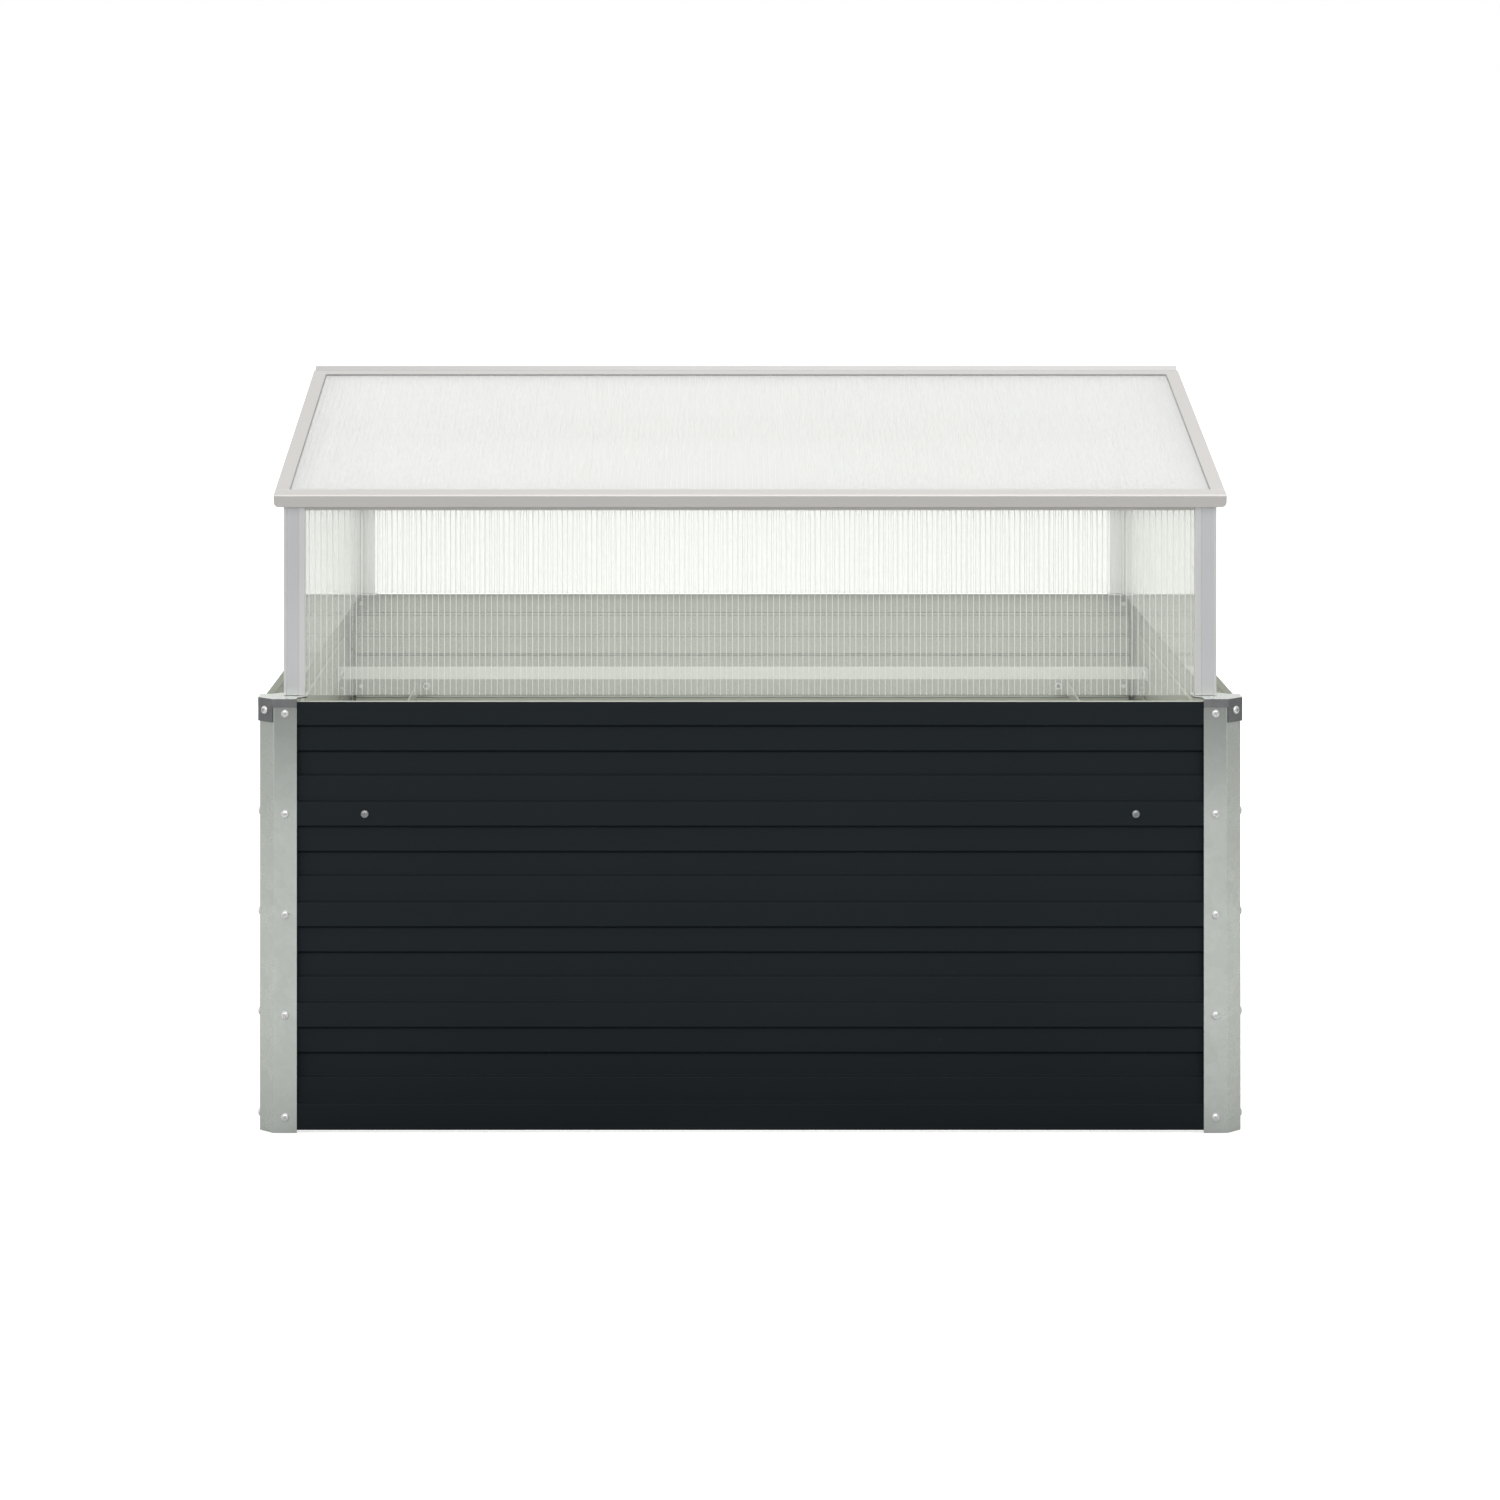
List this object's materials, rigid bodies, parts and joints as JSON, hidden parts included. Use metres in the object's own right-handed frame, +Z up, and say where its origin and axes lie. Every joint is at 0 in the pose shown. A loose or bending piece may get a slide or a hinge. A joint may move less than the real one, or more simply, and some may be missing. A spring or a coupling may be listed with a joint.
{
  "type": "cold frame",
  "caption": "Square raised bed of ribbed sheet steel with a glazed top, whose low gable roof is two lids hinged at the ridge.",
  "frame": {"origin": "middle of the footprint at ground level", "axes": "+Z up, -Y towards the front lid, +X to the right seen from the front"},
  "size_m": [1.0036, 1.0036, 0.75],
  "materials": {
    "painted_steel": "satin",
    "galvanised_steel": "satin",
    "bracket_steel": "matte",
    "zinc_plated_steel": "gloss",
    "aluminium": "satin",
    "twin_wall_sheet": "satin"
  },
  "bodies": {
    "bed": {"front_eave_rail": "aluminium", "front_left_bracket": "bracket_steel", "front_left_bracket_screw": "zinc_plated_steel", "front_left_corner_post": "galvanised_steel", "front_left_frame_post": "aluminium", "front_left_gable_rail": "aluminium", "front_right_bracket": "bracket_steel", "front_right_bracket_screw": "zinc_plated_steel", "front_right_corner_post": "galvanised_steel", "front_right_frame_post": "aluminium", "front_right_gable_rail": "aluminium", "front_tie_bar": "galvanised_steel", "front_tie_screw_left": "zinc_plated_steel", "front_tie_screw_right": "zinc_plated_steel", "front_wall_pane": "twin_wall_sheet", "front_wall_panel": "painted_steel", "left_gable_pane": "twin_wall_sheet", "left_tie_bar": "galvanised_steel", "left_tie_screw_left": "zinc_plated_steel", "left_tie_screw_right": "zinc_plated_steel", "left_wall_panel": "painted_steel", "rear_eave_rail": "aluminium", "rear_left_bracket": "bracket_steel", "rear_left_bracket_screw": "zinc_plated_steel", "rear_left_corner_post": "galvanised_steel", "rear_left_frame_post": "aluminium", "rear_left_gable_rail": "aluminium", "rear_right_bracket": "bracket_steel", "rear_right_bracket_screw": "zinc_plated_steel", "rear_right_corner_post": "galvanised_steel", "rear_right_frame_post": "aluminium", "rear_right_gable_rail": "aluminium", "rear_tie_bar": "galvanised_steel", "rear_tie_screw_left": "zinc_plated_steel", "rear_tie_screw_right": "zinc_plated_steel", "rear_wall_pane": "twin_wall_sheet", "rear_wall_panel": "painted_steel", "ridge_beam": "aluminium", "right_gable_pane": "twin_wall_sheet", "right_tie_bar": "galvanised_steel", "right_tie_screw_left": "zinc_plated_steel", "right_tie_screw_right": "zinc_plated_steel", "right_wall_panel": "painted_steel"},
    "front_lid": {"front_lid_eave_bar": "aluminium", "front_lid_left_bar": "aluminium", "front_lid_pane": "twin_wall_sheet", "front_lid_right_bar": "aluminium", "front_lid_top_bar": "aluminium", "front_stay_bracket": "zinc_plated_steel"},
    "rear_lid": {"rear_lid_eave_bar": "aluminium", "rear_lid_left_bar": "aluminium", "rear_lid_pane": "twin_wall_sheet", "rear_lid_right_bar": "aluminium", "rear_lid_top_bar": "aluminium", "rear_stay_bracket": "zinc_plated_steel"},
    "front_stay": {"front_stay": "zinc_plated_steel"},
    "rear_stay": {"rear_stay": "zinc_plated_steel"}
  },
  "joints": [
    {"name": "front_lid_hinge", "type": "hinge", "parent": "bed", "child": "front_lid", "pos_m": [0, -0.012, 0.741], "axis": [-1, 0, 0], "range_deg": [0, 60]},
    {"name": "rear_lid_hinge", "type": "hinge", "parent": "bed", "child": "rear_lid", "pos_m": [0, 0.012, 0.741], "axis": [1, 0, 0], "range_deg": [0, 60]},
    {"name": "front_stay_pivot", "type": "hinge", "parent": "front_lid", "child": "front_stay", "pos_m": [-0.4462, -0.44965, 0.63549], "axis": [-1, 0, 0], "range_deg": [0, 90]},
    {"name": "rear_stay_pivot", "type": "hinge", "parent": "rear_lid", "child": "rear_stay", "pos_m": [0.4462, 0.44965, 0.63549], "axis": [1, 0, 0], "range_deg": [0, 90]}
  ]
}
